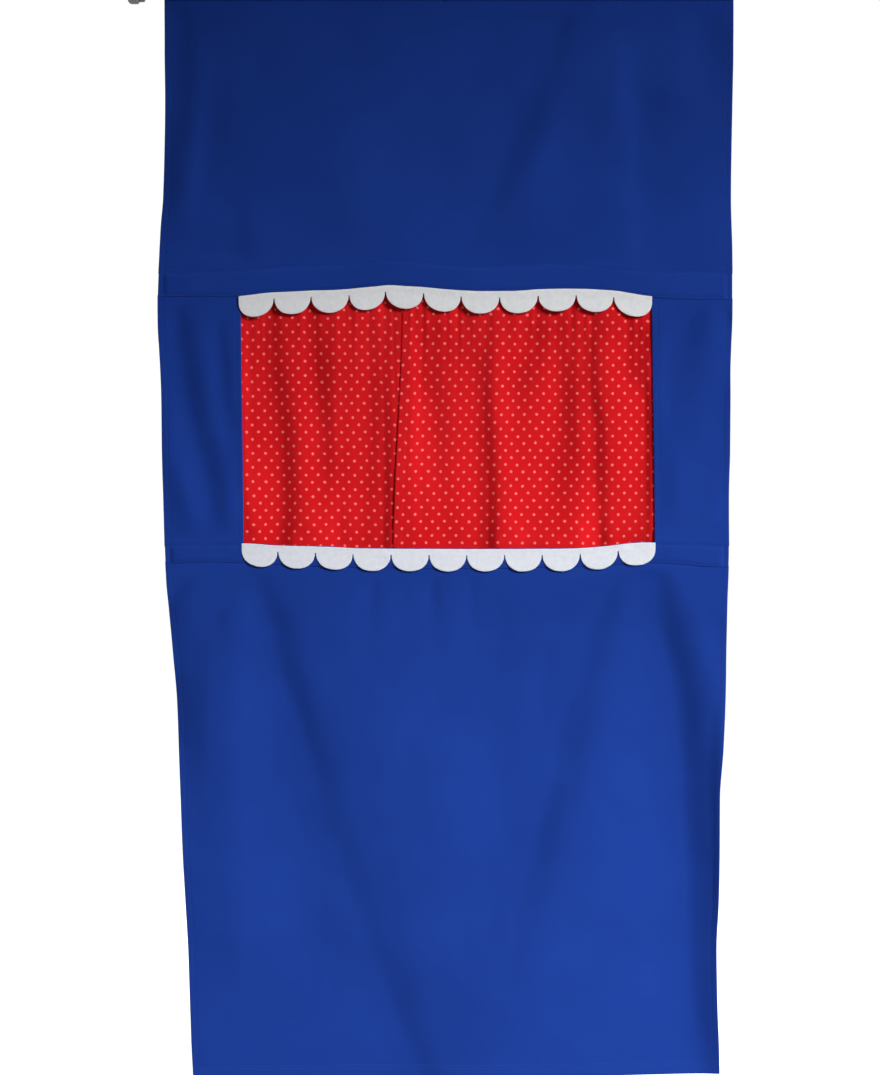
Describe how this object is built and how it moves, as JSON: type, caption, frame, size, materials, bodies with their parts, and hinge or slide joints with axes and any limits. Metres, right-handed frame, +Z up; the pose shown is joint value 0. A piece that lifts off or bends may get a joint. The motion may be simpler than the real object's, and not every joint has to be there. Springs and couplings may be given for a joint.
{
  "type": "doorway puppet theatre",
  "caption": "Blue cotton doorway puppet theatre with a stage window, scalloped trims and a red dotted curtain, hung from a telescopic spring rod.",
  "frame": {"origin": "centre of the left pad's outer face, on the rod's axis", "axes": "X along the rod to the audience's right, Y away from the audience, Z up"},
  "size_m": [0.9, 0.0428, 1.546],
  "materials": {
    "blue_cotton": "plain woven cotton, matt",
    "red_dotted_cotton": "plain woven cotton printed with small white dots",
    "white_felt": "felt, matt",
    "batten_plastic": "smooth flexible strip",
    "pad_rubber": "matt, fine grained",
    "socket_plastic": "moulded, satin",
    "tube_metal": "satin grey lacquer",
    "spring_steel": "drawn wire"
  },
  "bodies": {
    "rod_outer": {"left_end_pad": "pad_rubber", "left_end_socket": "socket_plastic", "outer_tube": "tube_metal", "tube_collar": "socket_plastic"},
    "lock": {"lock_sleeve": "socket_plastic"},
    "rod_inner": {"inner_tube": "tube_metal", "lock_stud": "socket_plastic", "spring_seat": "socket_plastic", "plunger_guide": "socket_plastic", "end_spring": "spring_steel"},
    "right_end": {"right_plunger": "socket_plastic", "right_end_socket": "socket_plastic", "right_end_pad": "pad_rubber"},
    "cloth_front": {"rod_sleeve": "blue_cotton", "top_panel": "blue_cotton", "upper_band": "blue_cotton", "upper_batten": "batten_plastic", "left_side_panel": "blue_cotton", "right_side_panel": "blue_cotton", "lower_band": "blue_cotton", "lower_batten": "batten_plastic", "lower_panel": "blue_cotton", "bottom_hem": "blue_cotton", "upper_scallop_trim": "white_felt", "lower_scallop_trim": "white_felt", "curtain_rod": "tube_metal", "left_rod_loop": "blue_cotton", "right_rod_loop": "blue_cotton", "left_heading": "red_dotted_cotton", "right_heading": "red_dotted_cotton", "left_curtain": "red_dotted_cotton", "right_curtain": "red_dotted_cotton"},
    "left_half": {"left_leading_edge": "red_dotted_cotton"},
    "right_half": {"right_leading_edge": "red_dotted_cotton"}
  },
  "joints": [
    {"name": "rod_extend", "type": "slide", "parent": "rod_outer", "child": "lock", "axis": [1, 0, 0], "range_m": [-0.02, 0.3]},
    {"name": "rod_twist", "type": "hinge", "parent": "lock", "child": "rod_inner", "pos_m": [0.22, 0, 0], "axis": [1, 0, 0], "range_deg": [-180, 0]},
    {"name": "end_press", "type": "slide", "parent": "rod_inner", "child": "right_end", "axis": [1, 0, 0], "range_m": [-0.012, 0], "stiffness_N_per_m": 2000, "springref_m": 0.005, "deforming": ["end_spring"]},
    {"name": "panel_swing", "type": "hinge", "parent": "rod_outer", "child": "cloth_front", "pos_m": [0.45, 0, 0], "axis": [1, 0, 0], "range_deg": [-15, 15]},
    {"name": "left_curtain_open", "type": "slide", "parent": "cloth_front", "child": "left_half", "axis": [-1, 0, 0], "range_m": [0, 0.15], "deforming": ["left_curtain", "left_heading"]},
    {"name": "right_curtain_open", "type": "slide", "parent": "cloth_front", "child": "right_half", "axis": [1, 0, 0], "range_m": [0, 0.235], "deforming": ["right_curtain", "right_heading"]}
  ]
}
